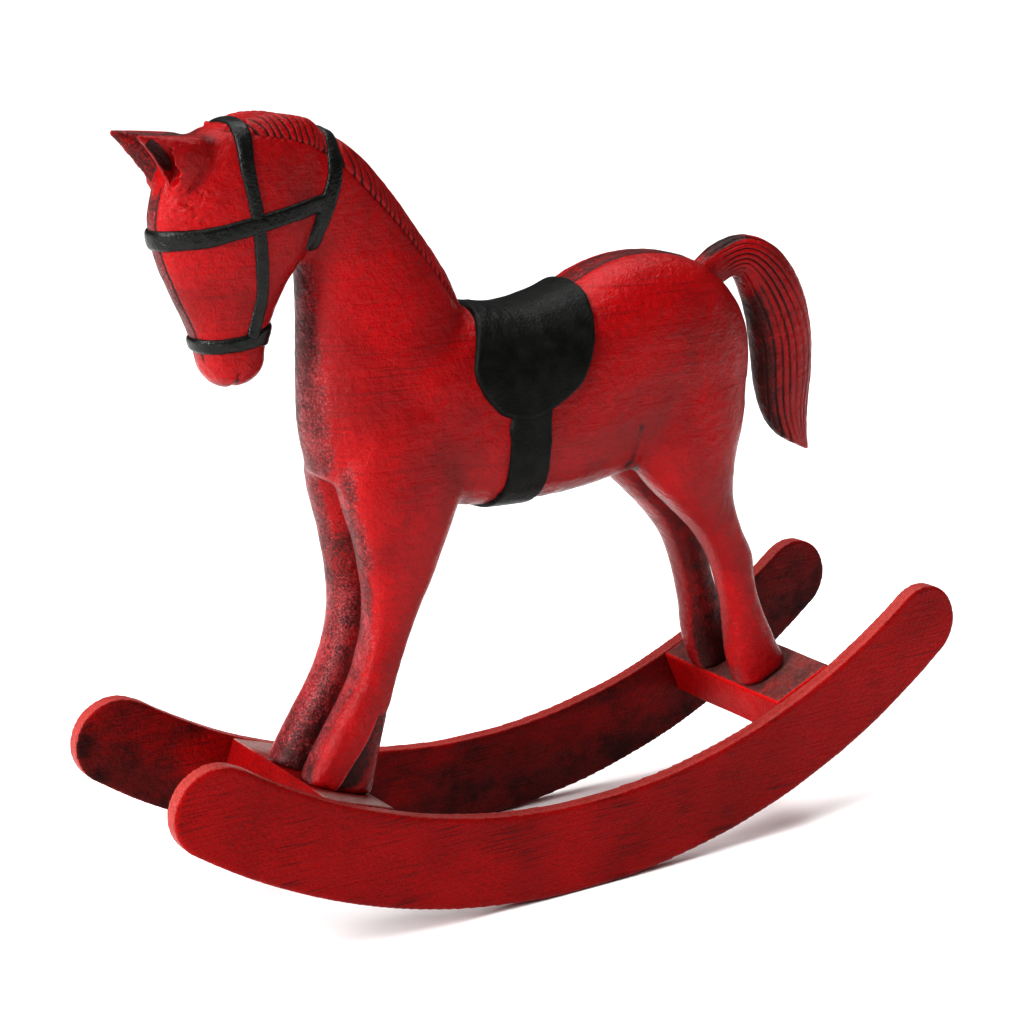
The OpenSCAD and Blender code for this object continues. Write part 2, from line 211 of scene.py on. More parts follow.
def soften(mesh, rounds, weight):
    """smooths facets away and puts the lost thickness back"""
    link = links(mesh)
    co, n = positions(mesh), normals(mesh)
    smooth = relax(co, link, rounds, weight)
    lost = relax(((co - smooth) * n).sum(1), link, rounds, 0.5)
    set_positions(mesh, smooth + lost * n * (np.asarray(weight).reshape(-1, 1) > 0))


def remesh(nodes, voxel):
    """one closed skin round the CAD nodes"""
    bm = bmesh.new()
    for node in nodes:
        bm.from_mesh(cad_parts[node].data)
    mesh = bpy.data.meshes.new("joined")
    bm.to_mesh(mesh)
    bm.free()
    ob = bpy.data.objects.new("joined", mesh)
    bpy.context.scene.collection.objects.link(ob)
    mod = ob.modifiers.new("skin", "REMESH")
    mod.mode = "VOXEL"
    mod.voxel_size = voxel * MM
    graph = bpy.context.evaluated_depsgraph_get()
    out = bpy.data.meshes.new_from_object(ob.evaluated_get(graph))
    bpy.data.objects.remove(ob)
    return biggest(out)


def biggest(mesh):
    """drops every shell but the largest"""
    bm = bmesh.new()
    bm.from_mesh(mesh)
    left = set(bm.verts)
    shells = []
    while left:
        todo = [left.pop()]
        shell = list(todo)
        while todo:
            for e in todo.pop().link_edges:
                for v in e.verts:
                    if v in left:
                        left.remove(v)
                        todo.append(v)
                        shell.append(v)
        shells.append(shell)
    shells.sort(key=len)
    for shell in shells[:-1]:
        bmesh.ops.delete(bm, geom=shell, context="VERTS")
    bm.to_mesh(mesh)
    bm.free()
    return mesh


def refine(mesh, chosen, settle=2):
    """halves the faces whose corners are all chosen"""
    bm = bmesh.new()
    bm.from_mesh(mesh)
    old = len(bm.verts)
    edges = {e for f in bm.faces if all(chosen[v.index] for v in f.verts) for e in f.edges}
    bmesh.ops.subdivide_edges(bm, edges=list(edges), cuts=1, use_grid_fill=True)
    bm.to_mesh(mesh)
    bm.free()
    co = positions(mesh)
    weight = np.zeros(len(co))
    weight[old:] = 0.5
    weight[:old][chosen] = 0.25
    set_positions(mesh, relax(co, links(mesh), settle, weight))


def note(mesh, name, values):
    layer = mesh.attributes.get(name) or mesh.attributes.new(name, "FLOAT", "POINT")
    layer.data.foreach_set("value", np.asarray(values, np.float32))


def hollows(mesh, rounds=10, size=0.35):
    """how hollow (above 0) or ridged (below 0) the skin is at each point"""
    link = links(mesh)
    co, n = positions(mesh), normals(mesh)
    rise = ((relax(co, link, rounds) - co) * n).sum(1)
    return np.clip(relax(rise, link, 2)[:, 0] / size, -1, 1)


def show(mesh, name, material, *replaced, slot=None):
    ob = bpy.data.objects.new(name, mesh)
    bpy.context.scene.collection.objects.link(ob)
    mesh.materials.clear()
    mesh.materials.append(material)
    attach(ob, BODY)
    if replaced:
        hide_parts(*replaced)
    return ob


def all_smooth(mesh):
    mesh.polygons.foreach_set("use_smooth", np.ones(len(mesh.polygons), bool))


# ------------------------------------------------------------------ shader nodes

class Paint:
    """a small helper that builds a node material"""

    def __init__(self, name):
        self.material = bpy.data.materials.new(name)
        self.material.use_nodes = True
        self.tree = self.material.node_tree
        self.tree.nodes.clear()
        self.out = self.tree.nodes.new("ShaderNodeOutputMaterial")
        self.shader = self.tree.nodes.new("ShaderNodeBsdfPrincipled")
        self.link(self.shader.outputs[0], self.out.inputs[0])
        self.where = self.tree.nodes.new("ShaderNodeTexCoord").outputs["Object"]

    def link(self, a, b):
        self.tree.links.new(a, b)

    def put(self, socket, value):
        if isinstance(value, bpy.types.NodeSocket):
            self.link(value, socket)
        elif isinstance(value, tuple) and len(value) == 3 and socket.type == "RGBA":
            socket.default_value = (*value, 1)
        else:
            socket.default_value = value

    def math(self, kind, a, b=0.0):
        node = self.tree.nodes.new("ShaderNodeMath")
        node.operation = kind
        self.put(node.inputs[0], a)
        self.put(node.inputs[1], b)
        return node.outputs[0]

    def mul(self, a, b):
        return self.math("MULTIPLY", a, b)

    def add(self, a, b):
        return self.math("ADD", a, b)

    def stretch(self, scale, turn=(0, 0, 0)):
        node = self.tree.nodes.new("ShaderNodeMapping")
        self.link(self.where, node.inputs["Vector"])
        node.inputs["Scale"].default_value = scale
        node.inputs["Rotation"].default_value = turn
        return node.outputs[0]

    def noise(self, mm, detail=3.0, rough=0.55, where=None, bend=0.0):
        """spots about mm across"""
        node = self.tree.nodes.new("ShaderNodeTexNoise")
        self.link(where or self.where, node.inputs["Vector"])
        node.inputs["Scale"].default_value = 1 / (mm * MM)
        node.inputs["Detail"].default_value = detail
        node.inputs["Roughness"].default_value = rough
        node.inputs["Distortion"].default_value = bend
        return node.outputs["Fac"]

    def between(self, value, low, high, to_low=0.0, to_high=1.0):
        node = self.tree.nodes.new("ShaderNodeMapRange")
        node.interpolation_type = "SMOOTHSTEP"
        self.put(node.inputs["Value"], value)
        node.inputs["From Min"].default_value = low
        node.inputs["From Max"].default_value = high
        node.inputs["To Min"].default_value = to_low
        node.inputs["To Max"].default_value = to_high
        return node.outputs[0]

    def mix(self, how_much, a, b):
        node = self.tree.nodes.new("ShaderNodeMix")
        node.data_type = "RGBA"
        self.put(node.inputs[0], how_much)
        self.put(node.inputs[6], a)
        self.put(node.inputs[7], b)
        return node.outputs[2]

    def height(self):
        node = self.tree.nodes.new("ShaderNodeSeparateXYZ")
        self.link(self.where, node.inputs[0])
        return node.outputs["Z"]

    def mark(self, name):
        node = self.tree.nodes.new("ShaderNodeAttribute")
        node.attribute_name = name
        return node.outputs["Fac"]

    def bump(self, height, mm, strength=1.0, under=None):
        node = self.tree.nodes.new("ShaderNodeBump")
        node.inputs["Strength"].default_value = strength
        node.inputs["Distance"].default_value = mm * MM
        self.link(height, node.inputs["Height"])
        if under:
            self.link(under, node.inputs["Normal"])
        return node.outputs[0]

    def finish(self, colour, rough, normal=None, **plain):
        self.put(self.shader.inputs["Base Color"], colour)
        self.put(self.shader.inputs["Roughness"], rough)
        if normal:
            self.link(normal, self.shader.inputs["Normal"])
        for key, value in plain.items():
            self.shader.inputs[key.replace("_", " ")].default_value = value
        return self.material


# colours, linear red, green and blue
RED = (0.345, 0.0016, 0.0034)
RED_DEEP = (0.215, 0.0012, 0.0024)
# pale rubbed red, also the colour of the painted sheen
RED_WORN_AND_SHEEN = (0.31, 0.056, 0.064)
MAROON = (0.085, 0.0060, 0.0055)
SOOT = (0.014, 0.0036, 0.003)
BOARD_RED = (0.30, 0.0017, 0.0023)
# one slat paint in a darker and a brighter copy: the front slat's darker red is painted shade, the rear
# slat's brighter red painted light
FRONT_SLAT_RED_SHADED = (0.25, 0.0015, 0.0022)
REAR_SLAT_RED_LIT = (0.56, 0.0030, 0.0040)
BOARD_WORN = (0.36, 0.060, 0.052)
BOARD_GREY = (0.36, 0.24, 0.22)
BLACK = (0.0034, 0.0034, 0.0030)
BLACK_PALER = (0.0080, 0.0080, 0.0070)
BLACK_DUSTY = (0.05, 0.048, 0.042)
BLACK_RUBBED = (0.10, 0.095, 0.085)
WOOD, WOOD_DARK = (0.62, 0.43, 0.24), (0.44, 0.27, 0.13)
STEEL, STEEL_DULL = (0.55, 0.55, 0.57), (0.36, 0.35, 0.34)
FLOOR_PALE, FLOOR_PALEST = (0.90, 0.90, 0.90), (0.93, 0.93, 0.93)


def red_paint(name, stroke=(0.030, 0.030, 1.0), stroke_dark=0.38):
    """red paint brushed over wood, washed dark in its hollows, with painted shade and painted sheen where
    the marks say
    """
    p = Paint(name)
    patches = p.noise(26, 3)
    colour = p.mix(p.between(patches, 0.35, 0.7), RED, RED_DEEP)
    strokes = p.noise(0.75, 3, 0.6, p.stretch(stroke))
    lines = p.between(strokes, 0.51, 0.68)
    broad = p.between(p.noise(15, 2, where=p.stretch((0.45, 0.45, 1))), 0.38, 0.60)
    # the strokes show on the neck and the body, hardly on the head and the legs
    lines = p.mul(lines, p.between(p.height(), 0.198, 0.216, 1.0, 0.22))
    lines = p.mul(lines, p.between(p.height(), 0.100, 0.130, 0.35, 1.0))
    colour = p.mix(p.mul(p.mul(lines, broad), stroke_dark), colour, SOOT)
    colour = p.mix(p.between(p.noise(1.2, 4, 0.7), 0.44, 0.66, 0.0, 0.5), colour, RED_DEEP)
    fine = p.between(p.noise(0.45, 3, 0.7), 0.32, 0.56, 0.34, 0.0)
    colour = p.mix(fine, colour, SOOT)
    clouds = p.noise(6, 3)
    # the dark wash with painted shade, mottled, tints the paint maroon
    soak_and_shade = p.add(p.mark("wash_and_shade"), p.mul(p.add(clouds, -0.5), 0.5))
    colour = p.mix(p.between(soak_and_shade, 0.30, 0.75, 0.0, 0.55), colour, MAROON)
    # paint rubbed thin and dusty where hands and brush touch, and painted sheen on the shins, the chest,
    # the top of the croup and the tail's ridges
    rub = p.between(p.add(p.mark("wear_and_sheen"), p.mul(p.add(p.noise(0.8, 3), -0.5), 1.1)), 0.42, 0.8)
    colour = p.mix(p.mul(rub, 0.75), colour, RED_WORN_AND_SHEEN)
    # dark wash and painted shade: soak in as fine specks, thickest where the marks say
    grain = p.noise(0.62, 4, 0.7)
    specks = p.between(p.add(soak_and_shade, p.mul(p.add(grain, -0.5), 1.5)), 0.42, 0.72)
    colour = p.mix(p.mul(specks, 0.86), colour, SOOT)
    cut = p.between(p.add(p.mark("cut"), p.mul(p.add(grain, -0.5), 0.5)), 0.25, 0.62)
    colour = p.mix(p.mul(cut, 0.9), colour, SOOT)
    rough = p.add(p.between(p.noise(3.5, 3), 0.3, 0.7, 0.13, 0.25), p.mul(specks, 0.22))
    peel = p.bump(p.noise(2.4, 3, 0.55), 0.55, 0.9)
    scratch = p.bump(strokes, 0.18, 0.8, peel)
    grit = p.bump(grain, 0.26, 0.85, scratch)
    return p.finish(colour, rough, grit, Specular_IOR_Level=0.19)


def rocker_paint(name, coat):
    """red paint on sawn boards; smudged black with painted shade on the inside faces, rubbed pale on the
    edges
    """
    p = Paint(name)
    patches = p.noise(40, 3)
    deep = tuple(0.7 * v for v in coat)
    colour = p.mix(p.between(patches, 0.35, 0.7), coat, deep)
    strokes = p.noise(0.7, 3, 0.6, p.stretch((0.035, 1.0, 1.0)))
    broad = p.between(p.noise(18, 2), 0.35, 0.65)
    colour = p.mix(p.mul(p.mul(p.between(strokes, 0.5, 0.68), broad), 0.68), colour, SOOT)
    grain = p.noise(0.7, 4, 0.7)
    clouds = p.noise(9, 4, 0.62, p.stretch((0.55, 1, 1)))
    # black smudges and painted shade, where the marks say
    soak_and_shade = p.add(p.mark("wash_and_shade"), p.mul(p.add(clouds, -0.5), 1.0))
    smudge_and_shade = p.between(p.add(soak_and_shade, p.mul(p.add(grain, -0.5), 0.7)), 0.35, 0.95)
    stain = p.mix(p.between(p.noise(16, 4, 0.6), 0.40, 0.60), MAROON, SOOT)
    colour = p.mix(p.mul(smudge_and_shade, 0.93), colour, stain)
    dust = p.between(p.add(p.mark("wear_and_sheen"), p.mul(p.add(p.noise(1.4, 3), -0.5), 0.7)), 0.3, 0.8)
    colour = p.mix(p.mul(dust, 0.8), colour, BOARD_WORN)
    grey = p.mul(p.mark("grey"), p.between(p.noise(2.0, 4), 0.3, 0.7, 0.6, 1))
    colour = p.mix(grey, colour, BOARD_GREY)
    colour = p.mix(p.between(p.noise(0.55, 3, 0.7), 0.34, 0.56, 0.5, 0.0), colour, SOOT)
    rough = p.add(p.between(p.noise(4, 3), 0.3, 0.7, 0.30, 0.44), p.mul(smudge_and_shade, 0.12))
    peel = p.bump(p.noise(1.5, 3, 0.5), 0.45, 0.8)
    scratch = p.bump(strokes, 0.30, 0.9, peel)
    grit = p.bump(grain, 0.20, 0.7, scratch)
    return p.finish(colour, rough, grit, Specular_IOR_Level=0.08)


def black_paint(name, sheen, shine):
    """thick satin black brushed over the carving"""
    p = Paint(name)
    cloud = p.noise(7, 3)
    colour = p.mix(p.between(cloud, 0.35, 0.7), BLACK, BLACK_PALER)
    dust = p.between(p.noise(0.5, 3, 0.7), 0.62, 0.78)
    colour = p.mix(p.mul(dust, 0.22), colour, BLACK_DUSTY)
    rim = p.between(p.add(p.mark("wear_and_sheen"), p.mul(p.add(p.noise(1.1, 3), -0.5), 0.8)), 0.5, 0.9)
    colour = p.mix(p.mul(rim, 0.25), colour, BLACK_RUBBED)
    rough = p.between(p.noise(2.4, 4), 0.3, 0.7, sheen, sheen + 0.14)
    folds = p.bump(p.noise(2.6, 3, 0.5, p.stretch((1, 0.4, 0.5), (0, 0.5, 0)), 0.6), 0.34, 0.8)
    pores = p.bump(p.noise(0.8, 3), 0.34, 0.8, folds)
    return p.finish(colour, rough, pores, Specular_IOR_Level=shine)


def bare_wood(name):
    p = Paint(name)
    rings = p.noise(1.2, 4, 0.6, p.stretch((0.1, 1, 1)), 0.4)
    colour = p.mix(p.between(rings, 0.3, 0.7), WOOD, WOOD_DARK)
    return p.finish(colour, p.between(rings, 0.2, 0.8, 0.55, 0.75), p.bump(rings, 0.1, 0.6))


def screw_steel(name):
    p = Paint(name)
    rub = p.noise(0.5, 4, 0.6)
    colour = p.mix(p.between(rub, 0.3, 0.7), STEEL, STEEL_DULL)
    return p.finish(colour, p.between(rub, 0.2, 0.8, 0.28, 0.5), p.bump(rub, 0.03, 0.5), Metallic=1.0)


# ------------------------------------------------------------------ the carved horse

# lower edge of the carved mane, seen from the side
MANE_EDGE = curve([(-117, 247.4), (-110, 246.2), (-102.7, 245.1), (-95.6, 243.8), (-91.9, 242.6),
                   (-87.6, 241.2), (-83.5, 239.0), (-79.4, 236.0), (-71.7, 229.3), (-62.6, 220.2),
                   (-55.6, 212.4), (-47.6, 202.6), (-41, 194), (-35, 186)])
# front edge of the knife facet behind the near front hoof
FACET_EDGE = curve([(-73, 68.4), (-77.4, 60.4), (-83.4, 53.2), (-89.5, 46)])
# middle lines of the cheek strap and the throat latch
CHEEK_LINE = [(-111.2, 258), (-110.6, 249), (-111, 237), (-109, 224), (-107.2, 207), (-107, 198),
              (-109, 188.4)]
THROAT_LINE = [(-76.5, 252), (-79.5, 244.3), (-81.5, 232), (-84, 225), (-88.3, 213)]
# middle line of the hollow in an ear, from its base to its tip
EAR_HOLLOW = np.array([(-129.0, 8.2, 234.8), (-140.6, 9.8, 245.0)])


def hollow_axis(h):
    """from the middle line of the nearest ear hollow to a point, and 1 within the hollow's length"""
    p = np.stack([h[:, 0], np.abs(h[:, 1]), h[:, 2]], 1)
    a, b = EAR_HOLLOW
    t = ((p - a) @ (b - a)) / ((b - a) @ (b - a))
    d = p - a - np.clip(t, 0, 1)[:, None] * (b - a)
    d[:, 1] *= np.sign(h[:, 1])
    return d, step(-0.25, -0.1, t) * (1 - step(1.6, 2.8, np.linalg.norm(d, axis=1)))


def in_ear(h):
    return step(-121, -125, h[:, 0]) * step(228, 233, h[:, 2]) * step(2.2, 3.6, np.abs(h[:, 1]))


def snap(mesh, node, weight):
    """puts the chosen points back on the CAD surface, so that thin edges stay crisp"""
    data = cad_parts[node].data
    tree = BVHTree.FromPolygons([v.co for v in data.vertices], [f.vertices for f in data.polygons])
    co = positions(mesh)
    for i in np.nonzero(weight > 0.02)[0]:
        at = np.array(tree.find_nearest(Vector(co[i] * MM))[0]) / MM
        co[i] += weight[i] * (at - co[i])
    set_positions(mesh, co)


def horse_base():
    mesh = remesh(HORSE_NODES, 0.9)
    soften(mesh, 26, 0.5 * (1 - in_ear(to_horse(positions(mesh)))))
    # evens out the dome between the haunches
    co = positions(mesh)
    x, y, z = to_horse(co).T
    rump = step(67, 72, x) * hump(z, 163, 22) * (1 - step(9, 14, np.abs(y)))
    set_positions(mesh, relax(co, links(mesh), 110, 0.5 * rump))
    refine(mesh, in_ear(to_horse(positions(mesh))) > 0.1)
    snap(mesh, "head", in_ear(to_horse(positions(mesh))))
    return mesh


def near_mane(h, reach):
    edge, _, side = along(MANE_EDGE, h[:, 0], h[:, 2])
    return (edge * side > -reach) & (edge < 12) & (h[:, 0] > -119) & (h[:, 0] < -32)


def mane_shape(h):
    """height of the carved mane and how deep in a cut a point is"""
    edge, arc, side = along(MANE_EDGE, h[:, 0], h[:, 2])
    y = np.abs(h[:, 1])
    low_neck = step(30, 60, arc)
    lean = 0.85 + 0.7 * low_neck
    phase = (arc - lean * y) / 2.45 + 0.12 * np.sin(arc * 0.8) + 0.1 * np.sin(arc * 0.31 + 1)
    t = phase - np.floor(phase)
    cut = 1 - step(0.0, 0.25, np.minimum(t, 1 - t))
    above = edge * side - (0.35 - 0.25 * low_neck) * np.cos(2 * math.pi * t)
    ends = step(-118, -113, h[:, 0]) * (1 - step(-42, -34.5, h[:, 0]))
    on = step(-0.25, 0.45, above) * (1 - step(11, 13, edge)) * ends
    ditch = hump(above, -0.35, 0.85) * ends
    fill = MANE_RISE * step(MANE_HALF - 1.2, MANE_HALF + 1.2, y) * (1 - 0.7 * step(6, 10.5, y))
    for line, half in ((CHEEK_LINE, CHEEK_HALF), (THROAT_LINE, THROAT_HALF)):
        clear = step(half - 0.4, half + 0.5, along(curve(line), h[:, 0], h[:, 2])[0])
        on, ditch = on * clear, ditch * clear
    first = np.where(h[:, 1] > 0, CUTS_FROM_FAR, CUTS_FROM_NEAR)
    cut *= 0.08 + 0.92 * step(0, 4, y - first)
    return on * (0.05 + fill - 0.62 * cut) - 0.45 * ditch * (0.5 + 0.7 * cut), \
        on * cut * 0.95 + 0.8 * ditch * (0.4 + 0.6 * cut)


def dent(h, a, b, wide):
    """1 along a straight line in the side view, falling to 0 at wide"""
    d, _, _ = along(np.array([a, b], float), h[:, 0], h[:, 2])
    return 1 - step(0, wide, d)


def refine_for_carving(mesh):
    """a finer skin on the head, the ears, the mane and the knife facet"""
    h = to_horse(positions(mesh))
    head = (h[:, 0] < -70) & (h[:, 2] > 168)
    knife = (along(FACET_EDGE, h[:, 0], h[:, 2])[0] < 3) & (h[:, 1] < -8) & (h[:, 0] < -60)
    refine(mesh, head | near_mane(h, 4) | knife)
    ear = in_ear(to_horse(positions(mesh)))
    snap(mesh, "head", ear)
    set_positions(mesh, relax(positions(mesh), links(mesh), 3, 0.35 * ear))
    refine(mesh, near_mane(to_horse(positions(mesh)), 1.8), 3)


class Carving:
    """how strongly each carved mark lies on each point, 0 to 1, from its place h and normal m"""

    def __init__(self, h, m):
        x, y, z = h.T
        side = np.abs(y)
        self.place, self.side = h, side
        # the mane's height in mm, and its cuts
        self.mane, self.mane_cut = mane_shape(h)
        self.near_ear = hump(x, -125, 8) * hump(z, 228, 8) * step(2, 4, side)
        self.gouges = self.near_ear * step(0.30, 0.75, wobble(x, 0.5 * y, z, 3.6, 9))
        # thick paint pitted on the forehead
        brow = hump(x, -129, 12) * hump(z, 225, 10) * step(2.5, 5, side)
        self.pits = brow * step(0.1, 0.6, wobble(x, y, z, 2.1, 21))
        # narrow flat down the front of the face, with a scribed line each side
        self.face = step(0.45, 0.75, -m[:, 0]) * (x < -100) * step(176, 186, z) \
            * (1 - step(226, 236, z))
        self.scribe = hump(side, 2.6, 0.5) * self.face
        # a short notch under the muzzle
        self.mouth = dent(h, (-113.5, 171), (-113.0, 176.5), 1.3)
        # a crease each side of the croup's middle
        self.croup = hump(side, 4.2, 0.7) * (x > 6) * (x < 62) * step(0.4, 0.8, m[:, 2]) \
            * step(186, 190, z)
        # fold where the thigh meets the belly
        self.fold = dent(h, (22.7, 133), (23.4, 146), 3.4) * step(9, 14, side)
        # knife facet behind the hoof of the near front leg, and the sharp rim in front of it
        d, _, after = along(FACET_EDGE, x, z)
        behind = d * after
        near_hoof = step(70, 66, z) * step(44, 47, z) * (y < 0) * (x < -60)
        facing = step(0.2, 0.6, -m[:, 1])
        self.facet = step(-0.1, 0.7, behind) * (1 - step(4.5, 9, behind)) * near_hoof * facing
        self.facet_rim = hump(behind, -0.2, 0.55) * near_hoof
        # faint glue line of the neck
        self.glue = hump(z, NECK_JOINT_Z, 0.55) * (x < -62) * (x > -88) * step(0.5, 0.8, side / 16)

    def lift(self):
        """how far each point is raised, or cut down where it is below 0, in mm"""
        x, y, z = self.place.T
        # knife marks: faint flats all over, coarser about the ears
        flats = 0.10 * wobble(x, y, z, 9, 1) + 0.06 * wobble(x, y, z, 3.6, 2)
        lift = self.mane + flats * (1 - 0.7 * in_ear(self.place))
        lift += 0.16 * self.near_ear * wobble(x, y, z, 2.4, 3) - 0.5 * self.gouges
        lift -= 0.40 * self.pits + 0.22 * self.scribe + 0.9 * self.mouth
        lift -= 0.28 * self.croup + 0.34 * self.fold + 0.10 * self.glue
        return lift + 0.28 * self.facet_rim - 0.7 * self.facet


def in_ear_hollow(h, m):
    """1 on the hollow inner face of each ear"""
    d, within = hollow_axis(h)
    facing = -(m * d).sum(1) / np.maximum(np.linalg.norm(d, axis=1), 0.1)
    ahead = step(-0.25, 0.25, 0.84 * m[:, 0] + 0.55 * m[:, 1] * np.sign(h[:, 1]))
    return step(0.0, 0.35, facing) * in_ear(h) * within * ahead


def note_paint(mesh, carving):
    """notes where the paint is washed dark or given painted shade, where the black cuts lie, and where it
    is rubbed or given painted sheen
    """
    h, side = carving.place, carving.side
    x, y, z = h.T
    m = turn_in(normals(mesh))
    outward = m[:, 1] * np.sign(y)
    hollow = hollows(mesh)
    hind = x > 0
    under = step(0.35, 0.9, -m[:, 2])
    # painted sheen: the flat strip along the top of the croup gets a pinkish-brown tone where the light
    # from above falls on it
    top_sheen_strip = step(0.75, 0.95, m[:, 2]) * (x > 6) * (1 - step(3.6, 4.8, side)) * step(185, 189, z)
    face_strip = carving.face * (1 - step(2.8, 3.6, side))
    # the front of the chest: a darker, dusty band, with painted pinkish sheen over it
    chest = step(0.56, 0.9, -m[:, 0]) * step(-60, -76, x) * (1 - step(214, 232, z)) \
        * step(100, 116, z) * (x > -106)
    # the legs, dark on their inner sides and down the shins
    low = step(134, 118, z) * step(0.2, 2.0, side)
    inner = step(0.1, 0.55, -outward) * low
    shin = step(0.42 - 0.16 * step(100, 80, z), 0.74, -0.85 * m[:, 0] - 0.5 * outward)
    legs = np.maximum(shin * (0.50 - 0.34 * hind + 0.05 * step(80, 118, z)),
                      inner * (0.55 - 0.02 * hind))

    wash_and_shade = np.maximum(chest * (0.44 + 0.12 * step(0.70, 0.95, -m[:, 0])), low * legs)
    wash_and_shade += (0.15 + 0.10 * hind) * (1 - step(50, 74, z))
    # painted shade: the faces turned down, on the body above the legs, are darker
    wash_and_shade = np.maximum(wash_and_shade, 0.54 * under * (z > 112))
    wash_and_shade += 0.60 * face_strip + 0.9 * carving.scribe + 0.64 * top_sheen_strip
    # the croup crease, the thigh fold and the glue line washed dark; painted shade on the knife facet
    # behind the near front hoof
    wash_and_shade += 0.8 * carving.croup + 0.46 * carving.fold + 0.45 * carving.glue + 0.54 * carving.facet
    # dark pools: at the tail, on the poll and in the ears; painted shade with dark streaks between shoulder
    # and saddle
    wash_and_shade += 0.95 * hump(x, 62, 11) * step(179, 185, z) * (1 - step(4, 7, side))
    wash_and_shade += 0.55 * hump(x, -121, 9) * step(236, 242, z) * (1 - step(8, 11, side))
    wash_and_shade += 0.62 * in_ear(h) * step(0.0, 0.5, -outward)
    wash_and_shade += 0.36 * hump(x, -41, 11) * step(138, 150, z) * (1 - step(190, 200, z))
    wash_and_shade += 0.35 * np.clip(hollow, 0, 1) - 0.7 * carving.facet_rim
    note(mesh, "wash_and_shade", np.clip(wash_and_shade, 0, 1))

    blots = (hump(x, 48, 8) + hump(x, 64, 7)) * step(180, 185, z) * (1 - step(4, 6.5, side)) \
        * step(-0.5, 0.0, wobble(x, y, z, 6, 17))
    note(mesh, "cut", np.clip(carving.mane_cut + 0.8 * carving.mouth * (z < 175) + in_ear_hollow(h, m)
                              + 0.8 * carving.gouges + blots, 0, 1))

    # rubbed, dusty paint on the legs' inner faces, the face strip, the facet's rim and the ridges; on the
    # shins and the chest it is also painted pinkish sheen, and on the croup's top strip painted sheen
    wear_and_sheen = np.maximum(low * shin * (0.66 - 0.52 * hind) * step(126, 96, z),
                      inner * (0.45 - 0.30 * hind))
    wear_and_sheen = np.maximum(wear_and_sheen, 0.57 * chest)
    wear_and_sheen += 0.60 * face_strip + 0.5 * top_sheen_strip
    wear_and_sheen += 1.0 * carving.facet_rim + 0.40 * np.clip(-hollow - 0.4, 0, 1)
    note(mesh, "wear_and_sheen", np.clip(wear_and_sheen, 0, 1))


def carve_horse(mesh):
    refine_for_carving(mesh)
    co, n = positions(mesh), normals(mesh)
    carving = Carving(to_horse(co), turn_in(n))
    set_positions(mesh, co + carving.lift()[:, None] * n)
    note_paint(mesh, carving)
    return mesh


def planes():
    """the joint planes in the row frame, in metres: point, normal"""
    def point(x, y, z):
        c, s = math.cos(TURN), math.sin(TURN)
        dx = x - PIVOT[0]
        return Vector((PIVOT[0] + c * dx - s * y, PIVOT[1] + s * dx + c * y, z)) * MM

    def normal(x, z):
        return Vector((math.cos(TURN) * x, math.sin(TURN) * x, z))
    a = math.radians(THROAT_TILT)
    return {
        "throat": (point(THROAT_AT[0], 0, THROAT_AT[1]), normal(-math.sin(a), math.cos(a))),
        "neck": (Vector((0, 0, NECK_JOINT_Z * MM)), Vector((0, 0, 1))),
        "leg": (Vector((0, 0, LEG_JOINT_Z * MM)), Vector((0, 0, 1)))}


def block_of(f, cuts):
    """which carved block a face belongs to"""
    c = f.calc_center_median()
    h = to_horse(np.array([[c.x, c.y, c.z]]) / MM)[0]

    def above(name):
        at, n = cuts[name]
        return (c - at).dot(n) > 0
    if above("throat") and h[0] < -70 and h[2] > 165:
        return "head"
    if above("neck") and h[0] < NECK_BACK_X:
        return "neck"
    if above("leg"):
        return "body"
    return ("front" if h[0] < LEGS_SPLIT_X else "rear") + ("_left" if h[1] < 0 else "_right") + "_leg"


def closed_block(name, faces, layers):
    """the faces as a mesh of their own, closed with flat caps, with the whole skin's normals"""
    part = bmesh.new()
    new_layers = [(part.verts.layers.float.new(k), old) for k, old in layers]
    made, normal_of = {}, {}
    for f in faces:
        for v in f.verts:
            if v not in made:
                w = part.verts.new(v.co)
                for new, old in new_layers:
                    w[new] = v[old]
                made[v] = w
                normal_of[w] = v.normal.copy()
    for f in faces:
        part.faces.new([made[v] for v in f.verts]).smooth = True
    open_edges = [e for e in part.edges if e.is_boundary]
    for cap in bmesh.ops.holes_fill(part, edges=open_edges, sides=0)["faces"]:
        cap.smooth = False
    bmesh.ops.recalc_face_normals(part, faces=part.faces)
    part.verts.index_update()
    loops = [tuple(normal_of[v] if f.smooth else f.normal) for f in part.faces for v in f.verts]
    block = bpy.data.meshes.new(name + "_carved")
    part.to_mesh(block)
    part.free()
    block.normals_split_custom_set(loops)
    return block


def split_blocks(mesh):
    """cuts the carved skin at the glue joints and closes every block"""
    cuts = planes()
    bm = bmesh.new()
    bm.from_mesh(mesh)

    def slice_at(name, keep):
        at, n = cuts[name]
        faces = [f for f in bm.faces if keep(to_horse(np.array([f.calc_center_median()]) / MM)[0])]
        geom = list({v for f in faces for v in f.verts}) + list({e for f in faces for e in f.edges}) + faces
        bmesh.ops.bisect_plane(bm, geom=geom, plane_co=at, plane_no=n, dist=1e-7)
    slice_at("throat", lambda h: h[0] < -68 and h[2] > 200)
    slice_at("neck", lambda h: h[0] < NECK_BACK_X and 185 < h[2] < 204 and h[0] > -95)
    slice_at("leg", lambda h: 112 < h[2] < 127)
    bm.normal_update()
    blocks = {}
    for f in bm.faces:
        blocks.setdefault(block_of(f, cuts), []).append(f)
    layers = [(k, bm.verts.layers.float[k]) for k in ("wash_and_shade", "cut", "wear_and_sheen")]
    out = {name: closed_block(name, faces, layers) for name, faces in blocks.items()}
    bm.free()
    return out


# ------------------------------------------------------------------ tail

